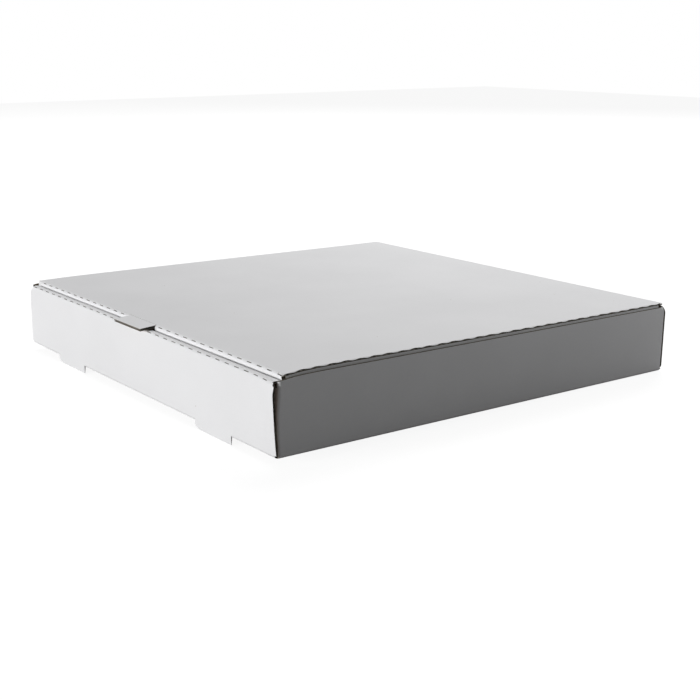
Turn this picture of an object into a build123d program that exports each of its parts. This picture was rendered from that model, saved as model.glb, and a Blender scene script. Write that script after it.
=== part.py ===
"""A shallow corrugated pizza box, die-cut and folded from one sheet.

The tray (base, walls, rolled front rim, corner ears, lugs and lock tabs) is one folded piece.
The lid (panel, thumb tab, front flap and two side flaps) turns about the fold on the back wall.
X runs across the front, Y runs from front to back, Z is up.  All sizes are in millimetres.
"""
import os

from build123d import *

# driving dimensions
box_width = 305.0            # across the front, outside
box_depth = 307.0            # face of the front wall to face of the back wall
box_height = 45.0            # underside of the base to the top of the lid
board = 1.5                  # fine-flute corrugated board
side_height = 43.4           # raw top edge of the side walls, over the underside of the base
rim_height = 41.0            # top of the rolled front rim, over the underside of the base

fold_radius = 1.0            # middle of the board at a crease
corner_radius = 1.6          # middle of the board where a side wall turns into an ear
layer_gap = 0.1              # between layers that are folded flat together
running_gap = 0.3            # between the lid and the tray

wall_corner = 5.0            # rounding of the front and back walls' top corners
rim_inset = 5.5              # from the box's side to the end of the rolled rim
ear_length = 60.0            # side wall to the free end of an ear
ear_lift = 3.0               # free bottom edge of an ear, over the underside of the base
ear_drop = 0.6               # front ear's top edge, below the rim's underside
ear_corner = 8.0             # rounding of an ear's free corners
back_ear_drop = 1.5          # back ear's top edge, below the side wall's top edge

lug_spacing = 179.0          # between the centres of the two lugs
lug_width = 38.0
lug_drop = 4.2               # how far a lug reaches below the base
lug_shoulder = 1.6           # steep part of a lug's left end
lug_round = 9.0              # length of the curve between that end and the lug's bottom
lug_round_radius = 16.0
lock_inset = 5.0             # a lock tab is narrower than its lug by this much at each end
lock_reach = 1.5             # how far a lock tab passes below the base

tab_width = 33.0             # thumb tab
tab_length = 9.5             # from the lid's front fold to the tab's outer edge
rim_slot_depth = 6.0         # opening behind the tab, down into the rim's inner panel
rim_slot_start = 2.2         # that opening's front edge, behind the face of the front wall

front_flap_depth = 30.0      # lid flap behind the rim, from the top of the lid
front_flap_lean = 2.4        # inwards at its bottom edge, so that it clears the rim as it opens
side_flap_depth = 30.0
flap_slant = 14.0            # how much shorter a flap is at each end of its bottom edge
flap_shoulder = 3.5          # full-length strip of a flap, from the top of the lid
flap_corner = 3.0            # open corner between two flaps of the lid
back_clear = 6.0             # from the back wall's face to the end of a side flap

slit_pitch = 9.56            # perforated folds: one slit and one bridge
slit_length = 4.5
slit_width = 0.5
slit_through = 0.15          # how far a slit's cutter passes the board on each side
first_rim_slit = 8.7         # from the left end of the front wall to the middle of the first slit
first_lid_slit = 11.0        # from the lid's left edge
first_side_slit = 9.0        # from the lid's front fold

# places worked out from them
fold_outer = fold_radius + board / 2
half_width = box_width / 2
lid_half = half_width - board - running_gap
rim_half = half_width - rim_inset
rim_stack = 3 * board + 2 * layer_gap
tab_overhang = tab_length - rim_stack - running_gap

front = (tab_overhang - box_depth) / 2
back = front + box_depth
middle = (front + back) / 2
flap_face = front + rim_stack + running_gap

under = lug_drop
base_top = under + board
rim_top = under + rim_height
side_top = under + side_height
lid_top = under + box_height

hinge_y = back - board / 2
hinge_z = lid_top - board / 2
back_top = hinge_z - board / 2 - running_gap

front_mid = front + board / 2
back_mid = back - board / 2
base_mid = under + board / 2
rim_mid = rim_top - board / 2
inner_mid = front + rim_stack - board / 2
side_mid = half_width - board / 2
front_ear_mid = front_mid + board + layer_gap
back_ear_mid = back_mid - board - layer_gap
rim_shoulder = rim_top - fold_outer
flap_bottom = lid_top - front_flap_depth
lug_centres = [(-lug_spacing / 2, 0), (lug_spacing / 2, 0)]


def fold_plane(turn, facing, along=(1, 0, 0)):
    """Plane on the middle of the board, halfway round a fold that turns about the point turn."""
    facing = Vector(*facing).normalized()
    return Plane(Vector(*turn) + facing * fold_radius, x_dir=along, z_dir=facing)


def slit_row(first, end):
    """Middles of the slits along a fold, from the first one to the last that comes before end."""
    count = int((end - first) // slit_pitch) + 1
    return [first + number * slit_pitch for number in range(count)]


def cut_slits(plane, middles):
    """Cut one row of slits through the board, lengthwise along the plane's x direction."""
    with BuildSketch(plane) as row:
        with Locations(*[(middle, 0) for middle in middles]):
            Rectangle(slit_length, slit_width)
    extrude(row.sketch, amount=board / 2 + slit_through, both=True, mode=Mode.SUBTRACT)


# a lug hanging from the line y = 0, curved at its left end and square at its right
with BuildSketch() as lug:
    with BuildLine():
        Polyline(
            (-lug_width / 2, -lug_shoulder),
            (-lug_width / 2, fold_outer),
            (lug_width / 2, fold_outer),
            (lug_width / 2, -lug_drop),
            (lug_round - lug_width / 2, -lug_drop),
        )
        RadiusArc(
            (lug_round - lug_width / 2, -lug_drop), (-lug_width / 2, -lug_shoulder), lug_round_radius
        )
    make_face()

with BuildPart() as tray:
    # base, outer front wall and back wall
    with BuildSketch(Plane.YZ):
        with BuildLine():
            FilletPolyline(
                (front_mid, rim_shoulder),
                (front_mid, base_mid),
                (back_mid, base_mid),
                (back_mid, back_top),
                radius=fold_radius,
            )
        trace(line_width=board)
    extrude(amount=half_width, both=True)
    wall_ends = tray.edges().filter_by(Axis.Y).filter_by(lambda edge: edge.length < 2 * board)
    fillet(wall_ends, radius=wall_corner)

    # folds between the base and the side walls
    with BuildSketch(Plane.XZ.offset(-middle)):
        with BuildLine():
            FilletPolyline(
                (-side_mid, under + ear_lift + board),
                (-side_mid, base_mid),
                (side_mid, base_mid),
                (side_mid, under + ear_lift + board),
                radius=fold_radius,
            )
        trace(line_width=board)
    extrude(amount=box_depth / 2 - board - layer_gap - corner_radius, both=True)

    # side walls with their front and back ears
    for side in (-1, 1):
        ear_tip = side * (half_width - ear_length)
        with BuildSketch(Plane.XY.offset(under + ear_lift)):
            with BuildLine():
                FilletPolyline(
                    (ear_tip, front_ear_mid),
                    (side * side_mid, front_ear_mid),
                    (side * side_mid, back_ear_mid),
                    (ear_tip, back_ear_mid),
                    radius=corner_radius,
                )
            trace(line_width=board)
        extrude(amount=side_height - ear_lift)

    # the ears' top edges are lower: in front under the rolled rim, behind under the lid
    with BuildSketch(Plane.XY.offset(rim_top - board - ear_drop)):
        with Locations((0, front_ear_mid)):
            Rectangle(2 * rim_half + board, board + layer_gap)
    extrude(amount=box_height, mode=Mode.SUBTRACT)
    with BuildSketch(Plane.XY.offset(side_top - back_ear_drop)):
        with Locations((0, back - board)):
            Rectangle(2 * (half_width - board), 2 * fold_outer, align=(Align.CENTER, Align.MAX))
    extrude(amount=box_height, mode=Mode.SUBTRACT)
    ear_ends = tray.edges().filter_by(Axis.Y).filter_by(
        lambda edge: abs(abs(edge.center().X) - (half_width - ear_length)) < layer_gap
    )
    fillet(ear_ends, radius=ear_corner)

    # openings in the base that the lugs were cut from, and the lugs, in line with the wall
    with BuildSketch(Plane((0, front + board, under), x_dir=(1, 0, 0), z_dir=(0, 0, -1))):
        with Locations(*lug_centres):
            add(lug.sketch)
    extrude(amount=-fold_outer, mode=Mode.SUBTRACT)
    with BuildSketch(Plane((0, front, under), x_dir=(1, 0, 0), z_dir=(0, -1, 0))):
        with Locations(*lug_centres):
            add(lug.sketch)
    extrude(amount=-board)

    # rolled rim, over the front ears and down inside to the base
    with BuildSketch(Plane.YZ):
        with BuildLine():
            FilletPolyline(
                (front_mid, rim_shoulder - board),
                (front_mid, rim_mid),
                (inner_mid, rim_mid),
                (inner_mid, base_top + layer_gap),
                radius=fold_radius,
            )
        trace(line_width=board)
    extrude(amount=rim_half, both=True)

    # lock tabs of the rim's inner panel, down through the openings in the base
    with BuildSketch(Plane.XY.offset(under - lock_reach)):
        with Locations(*[(x, inner_mid) for x, y in lug_centres]):
            Rectangle(lug_width - 2 * lock_inset, board)
    extrude(amount=lock_reach + 2 * board)

    # opening in the rim behind the thumb tab
    with BuildSketch(Plane.XY.offset(rim_top - rim_slot_depth)):
        with Locations((0, front + rim_slot_start)):
            Rectangle(tab_width, rim_stack, align=(Align.CENTER, Align.MIN))
    extrude(amount=box_height, mode=Mode.SUBTRACT)

    # perforated fold along the top of the front wall
    rim_row = slit_row(first_rim_slit - half_width, rim_half - slit_length)
    cut_slits(fold_plane((0, front_mid + fold_radius, rim_mid - fold_radius), (0, -1, 1)), rim_row)


with BuildPart() as lid:
    # panel and front flap, with the round edge that turns on the back wall
    flap_mid = flap_face + board / 2
    with BuildSketch(Plane.YZ):
        with BuildLine():
            FilletPolyline(
                (flap_mid + front_flap_lean, flap_bottom),
                (flap_mid, hinge_z),
                (hinge_y, hinge_z),
                radius=fold_radius,
            )
        trace(line_width=board)
        with Locations((hinge_y, hinge_z)):
            Circle(board / 2)
    extrude(amount=lid_half - flap_corner, both=True)

    # panel and side flaps
    panel_depth = hinge_y - flap_face - flap_corner
    with BuildSketch(Plane.XZ.offset(-hinge_y)):
        with BuildLine():
            FilletPolyline(
                (board / 2 - lid_half, lid_top - side_flap_depth),
                (board / 2 - lid_half, hinge_z),
                (lid_half - board / 2, hinge_z),
                (lid_half - board / 2, lid_top - side_flap_depth),
                radius=fold_radius,
            )
        trace(line_width=board)
    extrude(amount=panel_depth)

    # slanted ends of the flaps
    shoulder_z = lid_top - flap_shoulder
    with BuildSketch(Plane.XZ.offset(-flap_face - flap_corner)):
        for side in (-1, 1):
            with BuildLine():
                Polyline(
                    (side * lid_half, shoulder_z),
                    (side * (lid_half - flap_corner), shoulder_z),
                    (side * (lid_half - flap_corner - flap_slant), flap_bottom - board),
                    (side * lid_half, flap_bottom - board),
                    close=True,
                )
            make_face()
    extrude(amount=flap_corner, both=True, mode=Mode.SUBTRACT)
    flap_end = back - back_clear
    flap_edge = lid_top - side_flap_depth - board
    with BuildSketch(Plane.YZ):
        with BuildLine():
            Polyline(
                (flap_face + flap_corner - board, shoulder_z),
                (flap_face + flap_corner, shoulder_z),
                (flap_face + flap_corner + flap_slant, flap_edge),
                (flap_face + flap_corner - board, flap_edge),
                close=True,
            )
        make_face()
        with BuildLine():
            Polyline(
                (back, lid_top - board),
                (flap_end, lid_top - board),
                (flap_end, shoulder_z),
                (flap_end - flap_slant, flap_edge),
                (back, flap_edge),
                close=True,
            )
        make_face()
    extrude(amount=half_width, both=True, mode=Mode.SUBTRACT)

    # thumb tab, flat in line with the panel, and the hole that it leaves in the front flap
    with BuildSketch(Plane.XZ.offset(-flap_face - front_flap_lean)):
        with Locations((0, lid_top)):
            Rectangle(tab_width, 2 * tab_length)
    extrude(amount=2 * front_flap_lean, mode=Mode.SUBTRACT)
    with BuildSketch(Plane.XY.offset(lid_top - board)):
        with Locations((0, flap_face - tab_length)):
            Rectangle(tab_width, tab_length + 2 * fold_outer, align=(Align.CENTER, Align.MIN))
    extrude(amount=board)

    # perforated folds along the front flap and the side flaps
    front_row = slit_row(first_lid_slit - lid_half, lid_half - flap_corner - slit_length)
    clear_of_tab = [x for x in front_row if abs(x) > (tab_width + slit_length) / 2]
    cut_slits(fold_plane((0, flap_mid + fold_radius, hinge_z - fold_radius), (0, -1, 1)), clear_of_tab)
    side_row = slit_row(first_side_slit, flap_end - flap_face - slit_length)
    for side in (-1, 1):
        turn = (side * (lid_half - board / 2 - fold_radius), flap_face, hinge_z - fold_radius)
        cut_slits(fold_plane(turn, (side, 0, 1), along=(0, 1, 0)), side_row)

tray.part.label = "tray"
lid.part.label = "lid"
os.makedirs("parts", exist_ok=True)
export_step(tray.part, "parts/tray.step")
export_step(lid.part, "parts/lid.step")
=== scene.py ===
from math import atan2, ceil, copysign, cos, exp, hypot, pi, radians, sin, sqrt, tan

import bpy
from mathutils import Matrix, Vector


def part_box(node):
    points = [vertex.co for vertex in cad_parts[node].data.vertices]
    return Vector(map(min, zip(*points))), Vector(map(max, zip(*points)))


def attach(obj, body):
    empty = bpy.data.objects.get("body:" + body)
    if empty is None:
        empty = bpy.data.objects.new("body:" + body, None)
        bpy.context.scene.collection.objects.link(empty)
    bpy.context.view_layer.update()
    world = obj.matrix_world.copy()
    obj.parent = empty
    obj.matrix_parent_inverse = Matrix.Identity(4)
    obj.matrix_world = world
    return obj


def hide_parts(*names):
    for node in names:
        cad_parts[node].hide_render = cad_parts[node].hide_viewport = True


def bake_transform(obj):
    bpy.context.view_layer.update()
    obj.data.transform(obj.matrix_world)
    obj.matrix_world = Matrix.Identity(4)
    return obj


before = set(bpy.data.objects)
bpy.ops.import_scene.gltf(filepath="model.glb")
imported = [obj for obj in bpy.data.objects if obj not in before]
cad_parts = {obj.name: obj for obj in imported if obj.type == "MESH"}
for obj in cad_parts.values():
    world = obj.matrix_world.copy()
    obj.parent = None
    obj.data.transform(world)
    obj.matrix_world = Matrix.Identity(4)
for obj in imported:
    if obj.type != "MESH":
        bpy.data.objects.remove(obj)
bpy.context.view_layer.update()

# The solid model's own size, in metres: x across the front, y from front to back, z up.
MM = 0.001

# Camera: a slightly long lens a little above the lid, off the front right corner.
tray_low, tray_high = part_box("tray")
front = tray_low.y
back = tray_high.y
middle = (front + back) / 2
camera_data = bpy.data.cameras.new("camera")
camera_data.lens = 62.6
camera_data.clip_start = 0.01
camera = bpy.data.objects.new("camera", camera_data)
bpy.context.scene.collection.objects.link(camera)
bpy.context.scene.camera = camera
camera_turn = radians(52.31)
camera_dip = radians(14.24)
camera_roll = radians(0.74)
camera_place = Vector((641.8 * MM, middle - 485.2 * MM, 212.6 * MM))
forward = Vector((-sin(camera_turn) * cos(camera_dip), cos(camera_turn) * cos(camera_dip), -sin(camera_dip)))
level_right = Vector((cos(camera_turn), sin(camera_turn), 0))
level_up = level_right.cross(forward)
camera_right = cos(camera_roll) * level_right + sin(camera_roll) * level_up
camera_up = cos(camera_roll) * level_up - sin(camera_roll) * level_right
turned = Matrix((camera_right, camera_up, -forward)).transposed().to_4x4()
camera.matrix_world = Matrix.Translation(camera_place) @ turned

# The papers.
# Fine-flute board is three papers glued together: a bleached white one outside, a brown wavy one in
# the middle and a brown one inside.  The wavy one and every cut edge are a dull grey-brown.  All are
# matt, with fibres, a soft mottle and a few specks.
paper_sheen = 0.12
fibre_scale = 1500.0
speck_scale = 110.0
speck_share = 0.80
flute_pitch = 3.3 * MM


def add(tree, kind, inputs=(), **settings):
    """A new node with these settings.  An input takes a number, a colour or another node's output."""
    made = tree.nodes.new(kind)
    for setting, value in settings.items():
        setattr(made, setting, value)
    for socket, value in dict(inputs).items():
        if isinstance(value, bpy.types.NodeSocket):
            tree.links.new(value, made.inputs[socket])
        else:
            made.inputs[socket].default_value = value
    return made


fibre_group = bpy.data.node_groups.new("paper_fibre", "ShaderNodeTree")
fibre_group.interface.new_socket("Place", in_out="INPUT", socket_type="NodeSocketVector")
fibre_group.interface.new_socket("Fibre Scale", in_out="INPUT", socket_type="NodeSocketFloat")
fibre_group.interface.new_socket("Cloud Scale", in_out="INPUT", socket_type="NodeSocketFloat")
fibre_group.interface.new_socket("Fibre", in_out="OUTPUT", socket_type="NodeSocketFloat")
fibre_group.interface.new_socket("Cloud", in_out="OUTPUT", socket_type="NodeSocketFloat")
fibre_group.interface.new_socket("Speck", in_out="OUTPUT", socket_type="NodeSocketFloat")
group_in = add(fibre_group, "NodeGroupInput")
group_out = add(fibre_group, "NodeGroupOutput")
stretched = add(fibre_group, "ShaderNodeVectorMath",
                {0: group_in.outputs["Place"], 1: (1.0, 0.3, 1.0)}, operation="MULTIPLY")
fibres = add(fibre_group, "ShaderNodeTexNoise",
             {"Vector": stretched.outputs[0], "Scale": group_in.outputs["Fibre Scale"],
              "Detail": 4.0, "Roughness": 0.65})
clouds = add(fibre_group, "ShaderNodeTexNoise",
             {"Vector": group_in.outputs["Place"], "Scale": group_in.outputs["Cloud Scale"],
              "Detail": 3.0, "Roughness": 0.5})
specks = add(fibre_group, "ShaderNodeTexVoronoi",
             {"Vector": group_in.outputs["Place"], "Scale": speck_scale})
speck_near = add(fibre_group, "ShaderNodeMapRange",
                 {"Value": specks.outputs["Distance"], "From Min": 0.020, "From Max": 0.045,
                  "To Min": 1.0, "To Max": 0.0})
speck_pick = add(fibre_group, "ShaderNodeSeparateColor", {"Color": specks.outputs["Color"]})
speck_rare = add(fibre_group, "ShaderNodeMath", {0: speck_pick.outputs["Red"], 1: speck_share},
                 operation="GREATER_THAN")
speck_mask = add(fibre_group, "ShaderNodeMath",
                 {0: speck_near.outputs["Result"], 1: speck_rare.outputs[0]}, operation="MULTIPLY")
fibre_group.links.new(fibres.outputs[0], group_out.inputs["Fibre"])
fibre_group.links.new(clouds.outputs[0], group_out.inputs["Cloud"])
fibre_group.links.new(speck_mask.outputs[0], group_out.inputs["Speck"])


def paper_finish(name, darker, lighter, speck_colour, cloud_scale, roughness, bump_height, washboard):
    """A paper's material.  The washboard is the middle paper's flutes that show faintly through."""
    material = bpy.data.materials.new(name)
    material.use_nodes = True
    tree = material.node_tree
    shader = tree.nodes["Principled BSDF"]
    shader.inputs["Specular IOR Level"].default_value = paper_sheen
    place = add(tree, "ShaderNodeTexCoord")
    fibre = add(tree, "ShaderNodeGroup", node_tree=fibre_group)
    fibre.inputs["Fibre Scale"].default_value = fibre_scale
    fibre.inputs["Cloud Scale"].default_value = cloud_scale
    tree.links.new(place.outputs["Object"], fibre.inputs["Place"])
    mottle = add(tree, "ShaderNodeMath", {0: fibre.outputs["Cloud"], 1: 0.6, 2: 0.0},
                 operation="MULTIPLY_ADD")
    mixed = add(tree, "ShaderNodeMath", {0: fibre.outputs["Fibre"], 1: 0.4, 2: mottle.outputs[0]},
                operation="MULTIPLY_ADD")
    shade = add(tree, "ShaderNodeMapRange",
                {"Value": mixed.outputs[0], "From Min": 0.36, "From Max": 0.64})
    colour = add(tree, "ShaderNodeMix", {"Factor": shade.outputs["Result"]}, data_type="RGBA")
    colour.inputs["A"].default_value = (*darker, 1.0)
    colour.inputs["B"].default_value = (*lighter, 1.0)
    specked = add(tree, "ShaderNodeMix", {"Factor": fibre.outputs["Speck"]}, data_type="RGBA")
    tree.links.new(colour.outputs["Result"], specked.inputs["A"])
    specked.inputs["B"].default_value = (*speck_colour, 1.0)
    tree.links.new(specked.outputs["Result"], shader.inputs["Base Color"])
    rough = add(tree, "ShaderNodeMapRange",
                {"Value": fibre.outputs["Fibre"], "From Min": 0.3, "From Max": 0.7,
                 "To Min": roughness - 0.06, "To Max": roughness + 0.06})
    tree.links.new(rough.outputs["Result"], shader.inputs["Roughness"])
    layer = add(tree, "ShaderNodeUVMap", uv_map="sheet")
    across = add(tree, "ShaderNodeSeparateXYZ", {"Vector": layer.outputs["UV"]})
    phase = add(tree, "ShaderNodeMath", {0: across.outputs["Y"], 1: 2 * pi / flute_pitch},
                operation="MULTIPLY")
    wave = add(tree, "ShaderNodeMath", {0: phase.outputs[0]}, operation="SINE")
    height = add(tree, "ShaderNodeMath",
                 {0: wave.outputs[0], 1: washboard, 2: fibre.outputs["Fibre"]},
                 operation="MULTIPLY_ADD")
    bump = add(tree, "ShaderNodeBump", {"Height": height.outputs[0], "Distance": bump_height,
                                        "Strength": 1.0})
    tree.links.new(bump.outputs["Normal"], shader.inputs["Normal"])
    return material


white_paper = paper_finish("white_paper", (0.825, 0.825, 0.835), (0.865, 0.865, 0.875), (0.45, 0.40, 0.33),
                           16.0, 0.62, 0.04 * MM, 0.10)
brown_paper = paper_finish("brown_paper", (0.275, 0.178, 0.098), (0.375, 0.25, 0.145), (0.15, 0.10, 0.05),
                           45.0, 0.75, 0.08 * MM, 0.25)
grey_paper = paper_finish("grey_brown_paper", (0.19, 0.175, 0.15), (0.31, 0.285, 0.245), (0.10, 0.08, 0.06),
                          80.0, 0.8, 0.08 * MM, 0.0)

# The board.
# One die-cut sheet of that board makes the whole box.  Each strip of it is folded round its creases
# here: the two flat papers follow the fold, and the wavy one between them is crushed there.
board = 1.5 * MM
paper_thickness = 0.18 * MM
liner = (board - paper_thickness) / 2
flute_height = 0.48 * MM
fold_radius = 1.0 * MM
crush_reach = 1.6 * MM
crush_depth = 0.36 * MM
crush_swing = 0.21 * MM
fold_steps = 8
crease_edge = 0.25 * MM
flute_steps = 8
hair = 0.001 * MM


def ease(low, high, value):
    """0 up to low, 1 from high on, and smooth between."""
    share = min(max((value - low) / (high - low), 0), 1)
    return share * share * (3 - 2 * share)


def folded(corners, *radii):
    """The board's middle line through these corners, as stretches: length, start, heading, bend."""
    corners = [Vector(corner) for corner in corners]
    radii = radii * (len(corners) if len(radii) == 1 else 1)
    stretches = []
    start = corners[0]
    for before, corner, after, radius in zip(corners, corners[1:], corners[2:], radii):
        way = (corner - before).normalized()
        onward = (after - corner).normalized()
        heading = atan2(way.y, way.x)
        turn = atan2(way.cross(onward), way.dot(onward))
        setback = radius * tan(abs(turn) / 2)
        crease = corner - way * setback
        stretches.append(((crease - start).dot(way), start, heading, 0))
        stretches.append((radius * abs(turn), crease, heading, copysign(1 / radius, turn)))
        start = corner + onward * setback
    way = corners[-1] - start
    stretches.append((way.length, start, atan2(way.y, way.x), 0))
    return [stretch for stretch in stretches if stretch[0] > hair]


def along(line, s):
    """The point at distance s along the line, and the direction to its left there."""
    for stretch in line:
        length, start, heading, bend = stretch
        if s <= length or stretch is line[-1]:
            break
        s -= length
    angle = heading + bend * s
    if bend:
        step = Vector((sin(angle) - sin(heading), cos(heading) - cos(angle))) / bend
    else:
        step = Vector((cos(heading), sin(heading))) * s
    return start + step, Vector((-sin(angle), cos(angle)))


def crushed(line, s):
    """1 in a fold, and less to 0 at crush_reach from it."""
    nearest = crush_reach
    begin = 0
    for length, start, heading, bend in line:
        if bend:
            nearest = min(nearest, max(begin - s, s - begin - length, 0))
        begin += length
    return ease(0, 1, 1 - nearest / crush_reach)


def starts(line):
    """The distance along the line at which each stretch begins, and the whole length last."""
    found = [0]
    for stretch in line:
        found.append(found[-1] + stretch[0])
    return found


def marks(low, high, step, at=()):
    """Places from low to high, no more than a step apart, with all those in at."""
    fixed = [low]
    for place in sorted(at):
        if fixed[-1] + 2 * hair < place < high - 2 * hair:
            fixed.append(place)
    fixed.append(high)
    places = []
    for begin, end in zip(fixed, fixed[1:]):
        count = max(1, ceil((end - begin) / step - 1e-6))
        places += [begin + (end - begin) * i / count for i in range(count)]
    return places + [high]


def paper(line, rows, columns, depth, span, place, outside, cuts, warp, flutes_along, materials, edge=1):
    """One paper of the board: a flat grid, cut out, folded along the line and given its thickness."""
    bpy.ops.object.select_all(action="DESELECT")
    bpy.ops.mesh.primitive_grid_add(x_subdivisions=len(columns) - 1, y_subdivisions=len(rows) - 1)
    sheet = bpy.context.object
    mesh = sheet.data
    mesh.uv_layers.active.name = "sheet"
    flat = []
    for s in rows:
        low, high = span(s)
        flat += [(min(max(t, low), high), s) for t in columns]
    for corner in mesh.loops:
        t, s = flat[corner.vertex_index]
        mesh.uv_layers.active.data[corner.index].uv = (s, t) if flutes_along else (t, s)
    for vertex, (t, s) in zip(mesh.vertices, flat):
        point, left = along(line, warp(s, t))
        vertex.co = place(*(point + left * depth(s, t)), t)
    bpy.ops.object.mode_set(mode="EDIT")
    bpy.ops.mesh.select_mode(type="FACE")
    bpy.ops.mesh.select_all(action="DESELECT")
    bpy.ops.object.mode_set(mode="OBJECT")
    largest = max(mesh.polygons, key=lambda face: face.area)
    t, s = flat[largest.vertices[0]]
    point, left = along(line, s)
    outwards = Vector(place(*(point + left * outside), t)) - Vector(place(*point, t))
    inside_out = largest.normal.dot(outwards) < 0
    for face in mesh.polygons:
        ts = [flat[corner][0] for corner in face.vertices]
        t = (min(ts) + max(ts)) / 2
        s = sum(flat[corner][1] for corner in face.vertices) / 4
        narrow = max(ts) - min(ts) < hair
        face.select = narrow or any(s0 < s < s1 and t0 < t < t1 for s0, s1, t0, t1 in cuts)
    bpy.ops.object.mode_set(mode="EDIT")
    bpy.ops.mesh.delete(type="FACE")
    bpy.ops.mesh.select_all(action="SELECT")
    bpy.ops.mesh.remove_doubles(threshold=hair)
    bpy.ops.mesh.dissolve_degenerate(threshold=hair)
    if inside_out:
        bpy.ops.mesh.select_all(action="SELECT")
        bpy.ops.mesh.flip_normals()
    bpy.ops.object.mode_set(mode="OBJECT")
    for material in materials:
        mesh.materials.append(material)
    thicken = sheet.modifiers.new("thicken", "SOLIDIFY")
    thicken.thickness = paper_thickness
    thicken.offset = 0
    thicken.material_offset = len(materials) - 1
    thicken.material_offset_rim = min(edge, len(materials) - 1)
    bpy.ops.object.modifier_apply(modifier="thicken")
    return sheet


def unwarped(s, t):
    """A row of the sheet that stays straight."""
    return s


def laid_up(name, line, outside, span, place, ends, step=8 * MM, rows_at=(), openings=(), slits=(),
            flutes_along=False, warp=unwarped, fine_columns=None):
    """The three papers of one strip of board, folded along the line, as one object."""
    begins = starts(line)
    length = begins[-1]
    fold_rows = [begins[i] + stretch[0] * k / fold_steps
                 for i, stretch in enumerate(line) if stretch[3] for k in range(fold_steps + 1)]
    fold_rows += [begins[i] - crease_edge for i, stretch in enumerate(line) if stretch[3]]
    fold_rows += [begins[i + 1] + crease_edge for i, stretch in enumerate(line) if stretch[3]]
    cut_rows = [s for opening in openings for s in opening[:2]]
    cut_columns = [t for opening in openings for t in opening[2:]]
    slit_rows = [s for slit in slits for s in slit[:2]]
    slit_columns = [t for slit in slits for t in slit[2:]]
    rows = marks(0, length, step, [*rows_at, *fold_rows, *cut_rows])
    columns = marks(*ends, step, cut_columns)
    wave_step = flute_pitch / flute_steps

    def outer(s, t):
        return outside * liner

    def inner(s, t):
        return -outside * (liner - crush_depth * crushed(line, s))

    def wavy(s, t):
        crush = crushed(line, s)
        run = t if flutes_along else s
        swing = (flute_height - crush_swing * crush) * sin(2 * pi * run / flute_pitch)
        return swing + outside * crush_depth / 2 * crush

    white_rows = marks(0, length, step, [*rows_at, *fold_rows, *cut_rows, *slit_rows])
    white_columns = marks(*ends, fine_columns or step, [*cut_columns, *slit_columns])
    white = paper(line, white_rows, white_columns, outer, span, place, outside, [*openings, *slits], warp,
                  flutes_along, [white_paper, grey_paper])
    brown = paper(line, rows, columns, inner, span, place, outside, openings, unwarped, flutes_along,
                  [grey_paper, brown_paper], edge=0)
    if flutes_along:
        wave = paper(line, rows, marks(*ends, wave_step, cut_columns), wavy, span, place, outside, openings,
                     unwarped, flutes_along, [grey_paper])
    else:
        wave = paper(line, marks(0, length, wave_step, [*rows_at, *cut_rows]),
                     marks(*ends, 4 * step, cut_columns), wavy, span, place, outside, openings, unwarped,
                     flutes_along, [grey_paper])
    bpy.ops.object.select_all(action="DESELECT")
    for sheet in (white, brown, wave):
        sheet.select_set(True)
    bpy.context.view_layer.objects.active = white
    bpy.ops.object.join()
    white.name = name
    white.data.name = name
    return white


def finished(piece, body, shape):
    """Presses the piece to its settled shape and makes it part of the tray or the lid."""
    for vertex in piece.data.vertices:
        vertex.co = shape(*vertex.co)
    bpy.ops.object.select_all(action="DESELECT")
    piece.select_set(True)
    bpy.context.view_layer.objects.active = piece
    bpy.ops.object.shade_smooth_by_angle(angle=radians(50))
    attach(piece, body)
    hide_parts(body)


def lengthways(a, b, t):
    """A strip that is folded from front to back: its line is in the y-z plane."""
    return (t, a, b)


# Tray panels.
# Rolled front rim, front wall, base and back wall, in one strip.  The front wall is doubled over at
# the top, with a row of short slits through the white paper along its outer fold.
half_width = tray_high.x
lid_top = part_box("lid")[1].z
under = lid_top - 45 * MM
layer_gap = 0.1 * MM
front_mid = front + board / 2
back_mid = back - board / 2
base_mid = under + board / 2
base_top = under + board
rim_top = under + 41 * MM
rim_mid = rim_top - board / 2
inner_mid = front + 2.5 * board + 2 * layer_gap
fold_outer = fold_radius + board / 2
rim_left = half_width - 5.5 * MM
rim_right = half_width - board - 0.4 * MM
back_half = half_width - 0.6 * MM
base_half = half_width - fold_outer
wall_corner = 5 * MM
near_corner = 1.0 * MM
foot_corner = 2 * MM
rim_shoulder = rim_top - fold_outer
back_top = lid_top - board - 0.3 * MM
tray_line = folded([(inner_mid, base_top + layer_gap), (inner_mid, rim_mid), (front_mid, rim_mid),
                    (front_mid, base_mid), (back_mid, base_mid), (back_mid, back_top)],
                   0.5 * MM, fold_radius, fold_radius, fold_radius)
tray_starts = starts(tray_line)
corner_steps = 8
rim_fold = (tray_starts[3] + tray_starts[4]) / 2
lug_half = 19 * MM
lug_centres = (-89.5 * MM, 89.5 * MM)
lug_hole_depth = 5.7 * MM
slit_pitch = 9.56 * MM
slit_half = 2.15 * MM
slit_gape = 0.13 * MM
tab_half = 16.5 * MM
rim_slit_inset = 8.7 * MM
slot_depth = 6 * MM
slot_lip = 0.45 * MM


def rounded(half, height, corner):
    """Half the width of a wall with a rounded corner, at a height below its top."""
    up = min(max(0, corner - height), corner)
    return half - corner + sqrt(corner ** 2 - up ** 2)


def tray_span(s):
    """How far the strip reaches to each side at s."""
    point, left = along(tray_line, s)
    if s < rim_fold:
        return (-rim_left, rim_right)
    if s < tray_starts[5] - hair:
        down = rim_shoulder - point.y
        return (-rounded(half_width, down, wall_corner), rounded(half_width, down, near_corner))
    if s > tray_starts[8] + hair:
        half = min(rounded(back_half, back_top - point.y, wall_corner),
                   rounded(back_half, point.y - base_top, foot_corner))
        return (-half, half)
    return (-base_half, base_half)


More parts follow.
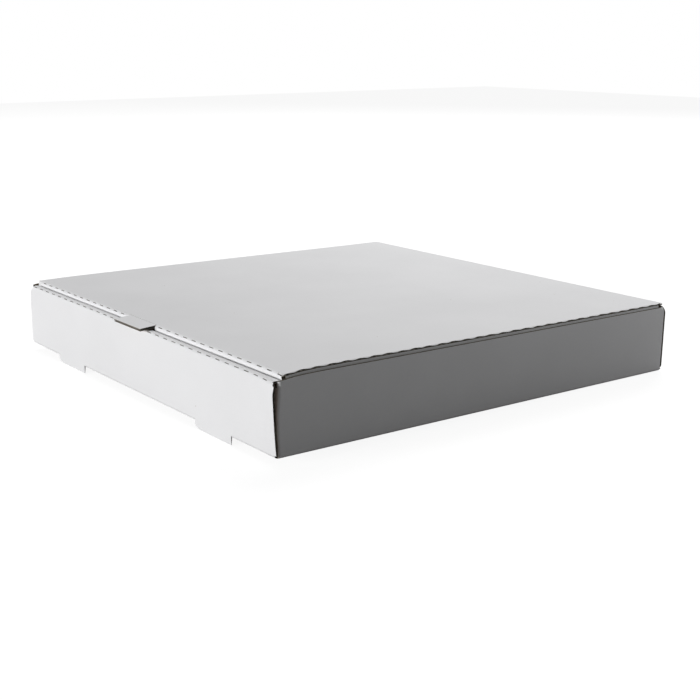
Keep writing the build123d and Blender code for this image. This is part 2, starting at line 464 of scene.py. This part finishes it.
def slit_centres(first, end):
    """The middles of a row of slits, with none beside the thumb tab."""
    count = int((end - first) / slit_pitch) + 1
    centres = [first + i * slit_pitch for i in range(count)]
    return [centre for centre in centres if abs(centre) > tab_half + slit_half]


def corner_marks(begin, reach):
    """Close places from begin on, where a corner is rounded."""
    return [begin + reach * i / corner_steps for i in range(corner_steps + 1)]


rim_slot = (rim_top - slot_depth - base_top - layer_gap, tray_starts[3] - slot_lip, -tab_half, tab_half)
lug_hole_end = tray_starts[6] + lug_hole_depth - fold_outer
lug_holes = [(tray_starts[5], lug_hole_end, centre - lug_half, centre + lug_half)
             for centre in lug_centres]
rim_slits = [(rim_fold - slit_gape, rim_fold + slit_gape, centre - slit_half, centre + slit_half)
             for centre in slit_centres(rim_slit_inset - half_width, rim_left - slit_half)]
corner_rows = [*corner_marks(tray_starts[4], wall_corner), *corner_marks(tray_starts[9], -wall_corner),
               *corner_marks(tray_starts[8], foot_corner)]
tray_panels = laid_up("tray_panels", tray_line, -1, tray_span, lengthways, (-half_width, half_width),
                      rows_at=corner_rows, openings=[rim_slot, *lug_holes], slits=rim_slits)


wall_lean = 0.05 * MM
wall_lean_right = 0.3 * MM
flare_reach = 26 * MM
flare_depth = 2.7 * MM
rim_hold = 0.40
rim_lift = 0.4 * MM


def tray_settled(x, y, z):
    """The front wall leans out at its top, and its right end, which nothing holds, stands out more."""
    rise = max((z - under) / (rim_top - under), 0)
    across = (x + half_width) / (2 * half_width)
    near = 1 - ease(front + 8 * MM, front + 20 * MM, y)
    flare = ease(half_width - flare_reach, half_width, x) * (1 - ease(front + board, inner_mid, y))
    held = 1 - rim_hold * ease(rim_top - 7 * MM, rim_top - 1 * MM, z)
    y -= (wall_lean + wall_lean_right * across) * rise * near
    y -= flare_depth * flare * rise ** 0.6 * held * near
    z += rim_lift * min(rise, 1) ** 4 * near
    return (x, y, z)


finished(tray_panels, "tray", tray_settled)

# Lugs and lock tabs.
# Two lugs go on below the front wall and carry the front of the box.  Behind each, a narrower tab on
# the rim's inner panel locks through the hole that the lug was cut from.
lug_shoulder = 1.6 * MM
lug_round = 9 * MM
pinch_reach = 4 * MM
pinch_share = 0.85
lock_half = 14 * MM
lock_drop = 1.5 * MM
lug_line = folded([(front_mid, 0), (front_mid, base_mid + fold_radius)], fold_radius)
lock_line = folded([(inner_mid, under - lock_drop), (inner_mid, base_top + layer_gap)], fold_radius)
lug_rows = [(under - lug_shoulder) * (1 - cos(pi / 2 * i / 10)) for i in range(11)]


def lug_span(centre):
    """The span of one lug: its left end comes down in a curve, its right end is square."""
    def span(s):
        deep = max(0, 1 - s / (under - lug_shoulder))
        return (centre - lug_half + lug_round * (1 - sqrt(1 - deep ** 2)), centre + lug_half)
    return span


def lock_span(centre):
    """The span of one lock tab."""
    return lambda s: (centre - lock_half, centre + lock_half)


def lug_settled(centre):
    """A lug leans with the wall, and the die has pinched its square end flat."""
    def settled(x, y, z):
        end = centre + lug_half
        pinch = pinch_share * ease(end - pinch_reach, end - 0.5 * MM, x) * (1 - 0.3 * ease(0, under, z))
        return tray_settled(x, y + (front + layer_gap - y) * pinch, z)
    return settled


for side, centre in zip(("left", "right"), lug_centres):
    lug_ends = (centre - lug_half, centre + lug_half)
    lug = laid_up("lug_" + side, lug_line, 1, lug_span(centre), lengthways, lug_ends, step=2 * MM,
                  rows_at=lug_rows)
    finished(lug, "tray", lug_settled(centre))
    lock_ends = (centre - lock_half, centre + lock_half)
    lock = laid_up("lock_tab_" + side, lock_line, -1, lock_span(centre), lengthways, lock_ends)
    finished(lock, "tray", tray_settled)

# Tray sides.
# Each side wall is folded up from the base and ends in two ears.  The front ear is caught in the
# rolled rim, the back ear lies inside the back wall.  The wall's top edge is a raw edge.
front_corner_radius = 0.8 * MM
back_corner_radius = 1.6 * MM
side_mid = half_width - board / 2
front_ear_mid = front + 1.5 * board + layer_gap
back_ear_mid = back - 1.5 * board - layer_gap
side_bottom = under + fold_outer
side_top = under + 42.8 * MM
ear_bottom = under + 3 * MM
front_ear_top = rim_top - board - 0.6 * MM
back_ear_top = side_top - 1.5 * MM
ear_length = 60 * MM
ear_corner = 8 * MM
side_line = folded([(half_width - ear_length, front_ear_mid), (side_mid, front_ear_mid),
                    (side_mid, back_ear_mid), (half_width - ear_length, back_ear_mid)],
                   front_corner_radius, back_corner_radius)
side_starts = starts(side_line)
corner_stand = 0.3 * MM
corner_bow = 1.0 * MM
back_stand = 0.9 * MM
back_round = 3.5 * MM
curl_height = 3 * MM
curl_depth = 0.22 * MM
top_droop = 2.2 * MM
droop_reach = 7 * MM


def side_span(s):
    """How low and high the strip reaches at s, with the ears' free corners rounded."""
    if side_starts[1] - hair < s < side_starts[4] + hair:
        return (side_bottom, side_top)
    from_end = min(s, side_starts[5] - s)
    cut = ear_corner - sqrt(max(ear_corner ** 2 - max(ear_corner - from_end, 0) ** 2, 0))
    top = front_ear_top if s < side_starts[1] else back_ear_top
    return (ear_bottom + cut, top - cut)


def side_settled(x, y, z):
    """The ears lean with the walls.  The right front corner fold bows out and is low at its top, the
    back one stands out with rounded ends, and the wall's raw top edge curls in a little."""
    at_side = ease(half_width - flare_reach, half_width, abs(x))
    y1 = tray_settled(min(x, half_width - flare_reach), y, z)[1]
    rise = ease(side_bottom - 10 * MM, side_top, z)
    corner = ease(half_width - flare_reach, half_width, x) * (1 - ease(front + 4 * MM, front + 60 * MM, y))
    y1 += (y - y1) * corner - (corner_stand + corner_bow * sin(pi * rise)) * corner
    outside = ease(half_width - 1.2 * MM, half_width - 0.2 * MM, abs(x))
    outside *= ease(back - 8 * MM, back - 4 * MM, y)
    from_end = max(0, z - side_top + back_round, under + back_round - z)
    y1 += (back_stand - back_round + sqrt(max(back_round ** 2 - from_end ** 2, 0))) * outside
    curl = max(0, z - (side_top - curl_height)) / curl_height
    inwards = copysign(curl_depth * curl ** 2, x) * ease(rim_left, half_width - board, abs(x))
    droop = top_droop * exp((front - y) / droop_reach) * ease(side_top - 12 * MM, side_top, z)
    return (x - inwards, y1, z - droop * at_side)


def upright(hand):
    """A strip that is folded round a corner of the tray: its line is in the x-y plane."""
    return lambda a, b, t: (hand * a, b, t)


def crosswise(hand):
    """A strip that is folded from side to side: its line is in the x-z plane."""
    return lambda a, b, t: (hand * a, t, b)


ear_rows = [*corner_marks(0, ear_corner), *corner_marks(side_starts[5], -ear_corner)]
fold_line = folded([(side_mid - fold_radius, base_mid), (side_mid, base_mid),
                    (side_mid, base_mid + fold_radius)], fold_radius)
fold_ends = (front + fold_outer, back - fold_outer)
for side, hand in (("right", 1), ("left", -1)):
    wall = laid_up("tray_side_" + side, side_line, -1, side_span, upright(hand),
                   (side_bottom - 2 * MM, side_top), rows_at=ear_rows, fine_columns=2 * MM)
    finished(wall, "tray", side_settled)
    foot = laid_up("tray_side_fold_" + side, fold_line, -1, lambda s: fold_ends, crosswise(hand),
                   fold_ends, flutes_along=True)
    finished(foot, "tray", side_settled)

# Lid panel and front flap.
# The lid's panel and the flap that goes down behind the rolled rim, in one strip.  Their fold has the
# second row of slits, and the thumb tab is cut out of the flap.
hinge_y = back_mid
hinge_z = lid_top - board / 2
running_gap = 0.3 * MM
lid_half = half_width - board - running_gap
flap_face = front + 3 * board + 2 * layer_gap + running_gap
flap_mid = flap_face + board / 2
flap_lean = 2.4 * MM
flap_depth = 30 * MM
flap_shoulder = 3.5 * MM
flap_slant = 14 * MM
flap_corner = 2 * MM
flap_bottom = lid_top - flap_depth
panel_half = lid_half - fold_outer
front_flap_half = panel_half + 0.5 * MM
lid_line = folded([(flap_mid + flap_lean, flap_bottom), (flap_mid, hinge_z), (hinge_y, hinge_z)],
                  fold_radius)
lid_starts = starts(lid_line)
lid_fold = (lid_starts[1] + lid_starts[2]) / 2
flap_slope = flap_slant / (flap_depth - flap_shoulder)
lid_slit_inset = 11 * MM
tab_cut_foot = 39.7 * MM
lid_sag = 0.15 * MM
right_lift = 0.40 * MM
right_fall = 0.35 * MM
front_sag = 0.75 * MM
front_sag_right = 0.25 * MM
corner_sag = 0.8 * MM


def lid_span(s):
    """How far the strip reaches to each side at s."""
    if s > lid_starts[1] + hair:
        return (-panel_half, panel_half)
    low = max(0, flap_depth - flap_shoulder - s)
    half = front_flap_half - flap_slope * low
    return (-half, half)


def lid_settled(x, y, z):
    """The lid is a little proud along its right side, and low along the front and at the near corner."""
    across = (x + half_width) / (2 * half_width)
    from_hinge = ease(0, 40 * MM, hinge_y - y)
    from_front = max(y - flap_face, 0)
    to_back = min(from_front / (hinge_y - flap_face), 1)
    right = ease(0.55, 0.95, across)
    lift = ((right_lift - right_fall * to_back) * right - lid_sag) * from_hinge
    lift -= (front_sag + front_sag_right * right) * exp(-from_front / ((22 - 12 * right) * MM))
    lift -= corner_sag * exp(-hypot(lid_half - x, from_front) / (9 * MM))
    return (x, y, z + lift)


tab_opening = (tab_cut_foot - flap_bottom, lid_starts[2], -tab_half, tab_half)
lid_slits = [(lid_fold - slit_gape, lid_fold + slit_gape, centre - slit_half, centre + slit_half)
             for centre in slit_centres(lid_slit_inset - lid_half, front_flap_half - slit_half)]
lid_panel = laid_up("lid_panel", lid_line, 1, lid_span, lengthways, (-front_flap_half, front_flap_half),
                    rows_at=[flap_depth - flap_shoulder], openings=[tab_opening], slits=lid_slits)
finished(lid_panel, "lid", lid_settled)

# Thumb tab.
# A short tongue that stays in the plane of the lid when the front flap is folded down, and stands out
# over the notch in the rim.  Its three edges are raw.
tab_length = 9.5 * MM
tab_droop = 1.0 * MM
tab_line = folded([(flap_face - tab_length, hinge_z - tab_droop), (flap_mid + fold_radius, hinge_z)],
                  fold_radius)
thumb_tab = laid_up("thumb_tab", tab_line, 1, lambda s: (-tab_half, tab_half), lengthways,
                    (-tab_half, tab_half), step=2 * MM)
finished(thumb_tab, "lid", lid_settled)

# Lid side flaps.
# They are tucked down inside the side walls.  The perforated fold has torn open along its top, so the
# white paper is parted by a wavy gap that shows the brown paper below.
back_clear = 6 * MM
side_flap_line = folded([(panel_half, hinge_z), (lid_half - board / 2, hinge_z),
                         (lid_half - board / 2, flap_bottom)], fold_radius)
side_flap_fold = starts(side_flap_line)[1] / 2
side_flap_ends = (flap_face + 0.4 * MM, hinge_y)
tear_half = 0.30 * MM
torn_top = 0.95 * side_flap_fold - tear_half
torn_foot = 0.95 * side_flap_fold + tear_half
tear_wave = 0.24 * MM
tear_drift = 0.09 * MM


def side_flap_span(s):
    """Where the flap begins and ends at s, from front to back."""
    if s < side_flap_fold:
        return side_flap_ends
    begin = flap_face + flap_corner
    low = max(0, s - 2 * side_flap_fold - flap_shoulder)
    return (begin + flap_slope * low, back - back_clear - flap_slope * low)


def torn(s, t):
    """The torn edge above the gap wanders: up at each slit, down at each bridge, never quite evenly."""
    if s > torn_top + hair:
        return s
    turn = 2 * pi * t / slit_pitch
    wander = tear_wave * cos(turn) + tear_drift * cos(turn / 2.7 + 1)
    return s - wander * s / torn_top


tear = (torn_top, torn_foot, flap_face, back)
for side, hand in (("right", 1), ("left", -1)):
    flap = laid_up("lid_flap_" + side, side_flap_line, 1, side_flap_span, crosswise(hand), side_flap_ends,
                   slits=[tear], flutes_along=True, warp=torn, fine_columns=slit_pitch / 8)
    finished(flap, "lid", lid_settled)

# Back fold.
# The crease between the back wall and the lid.  The white paper bends round it, and the brown inner
# paper closes the crease from inside.
fold_half = half_width - wall_corner
wrap_inset = paper_thickness / 2
white_bend = 0.66 * MM
brown_bend = 0.5 * MM


def crease_paper(name, corners, radius, outside, materials):
    """One paper across the crease, folded round it."""
    line = folded(corners, radius)
    rows = marks(0, starts(line)[-1], 0.25 * MM)
    piece = paper(line, rows, marks(-fold_half, fold_half, 8 * MM), lambda s, t: 0.0,
                  lambda s: (-fold_half, fold_half), lengthways, outside, [], unwarped, False, materials)
    piece.name = name
    piece.data.name = name
    bpy.ops.object.select_all(action="DESELECT")
    piece.select_set(True)
    bpy.context.view_layer.objects.active = piece
    bpy.ops.object.shade_smooth_by_angle(angle=radians(50))
    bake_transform(piece)
    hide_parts("tray", "lid")


white_crease = [(back - wrap_inset, back_top), (back - wrap_inset, lid_top - wrap_inset),
                (hinge_y, lid_top - wrap_inset)]
crease_paper("back_fold_white", white_crease, white_bend, -1, [white_paper, grey_paper])
brown_crease = [(back - board + wrap_inset, back_top), (hinge_y, lid_top - board + wrap_inset)]
crease_paper("back_fold_brown", brown_crease, brown_bend, -1, [brown_paper])

# Floor and backdrop.
# A plain pale floor that meets the lugs and the bottom back edge, so it falls away to the front by
# the height of the lugs.  To the camera it is white, with the box's shadow kept.
floor_width = 6.0
floor_slope = under / (back - front)
floor_gap = 0.05 * MM
floor_glow = 0.91
sky_light = 0.10
bpy.ops.object.select_all(action="DESELECT")
bpy.ops.mesh.primitive_plane_add(size=floor_width, location=(0, 0, 0))
floor = bpy.context.object
floor.name = "floor"
for vertex in floor.data.vertices:
    vertex.co.z = (vertex.co.y - front) * floor_slope - floor_gap
floor_finish = bpy.data.materials.new("pale_floor")
floor_finish.use_nodes = True
floor_tree = floor_finish.node_tree
floor_tree.nodes.clear()
floor_place = add(floor_tree, "ShaderNodeTexCoord")
floor_mottle = add(floor_tree, "ShaderNodeTexNoise",
                   {"Vector": floor_place.outputs["Object"], "Scale": 4.0})
floor_seen = add(floor_tree, "ShaderNodeMapRange",
                 {"Value": floor_mottle.outputs[0], "To Min": 0.21, "To Max": 0.24})
floor_unseen = add(floor_tree, "ShaderNodeMapRange",
                   {"Value": floor_mottle.outputs[0], "To Min": 0.27, "To Max": 0.31})
seen_diffuse = add(floor_tree, "ShaderNodeBsdfDiffuse", {"Color": floor_seen.outputs["Result"]})
unseen_diffuse = add(floor_tree, "ShaderNodeBsdfDiffuse", {"Color": floor_unseen.outputs["Result"]})
glow = add(floor_tree, "ShaderNodeEmission", {"Color": (1, 1, 1, 1), "Strength": floor_glow})
seen = add(floor_tree, "ShaderNodeAddShader", {0: seen_diffuse.outputs[0], 1: glow.outputs[0]})
floor_rays = add(floor_tree, "ShaderNodeLightPath")
floor_mix = add(floor_tree, "ShaderNodeMixShader",
                {0: floor_rays.outputs["Is Camera Ray"], 1: unseen_diffuse.outputs[0], 2: seen.outputs[0]})
add(floor_tree, "ShaderNodeOutputMaterial", {"Surface": floor_mix.outputs[0]})
floor.data.materials.append(floor_finish)

world = bpy.data.worlds.new("studio")
world.use_nodes = True
bpy.context.scene.world = world
sky_tree = world.node_tree
sky_tree.nodes.clear()
sky_rays = add(sky_tree, "ShaderNodeLightPath")
sky_strength = add(sky_tree, "ShaderNodeMapRange",
                   {"Value": sky_rays.outputs["Is Camera Ray"], "To Min": sky_light, "To Max": 1.0})
sky = add(sky_tree, "ShaderNodeBackground",
          {"Color": (1, 1, 1, 1), "Strength": sky_strength.outputs["Result"]})
add(sky_tree, "ShaderNodeOutputWorld", {"Surface": sky.outputs[0]})

# Studio light.
# A large soft lamp low in front for the front wall, another behind and above the left side for the
# lid, and a small weak one off the back right corner.


def lamp(name, direction, distance, size, watts):
    """A square soft lamp that looks at the middle of the box."""
    data = bpy.data.lights.new(name, "AREA")
    data.size = size
    data.energy = watts
    made = bpy.data.objects.new(name, data)
    bpy.context.scene.collection.objects.link(made)
    made.visible_camera = False
    aim = Vector((0, middle, under + 20 * MM))
    towards = Vector(direction).normalized()
    turn = towards.to_track_quat("Z", "Y").to_matrix().to_4x4()
    made.matrix_world = Matrix.Translation(aim + towards * distance) @ turn


lamp("front_lamp", (-0.10, -1.0, 0.12), 2.2, 0.7, 38.0)
lamp("top_lamp", (-0.50, 0.62, 0.70), 2.2, 1.4, 40.0)
lamp("side_lamp", (0.5, 0.648, 0.176), 0.837, 0.3, 0.82)
bpy.context.scene.view_settings.view_transform = "Standard"
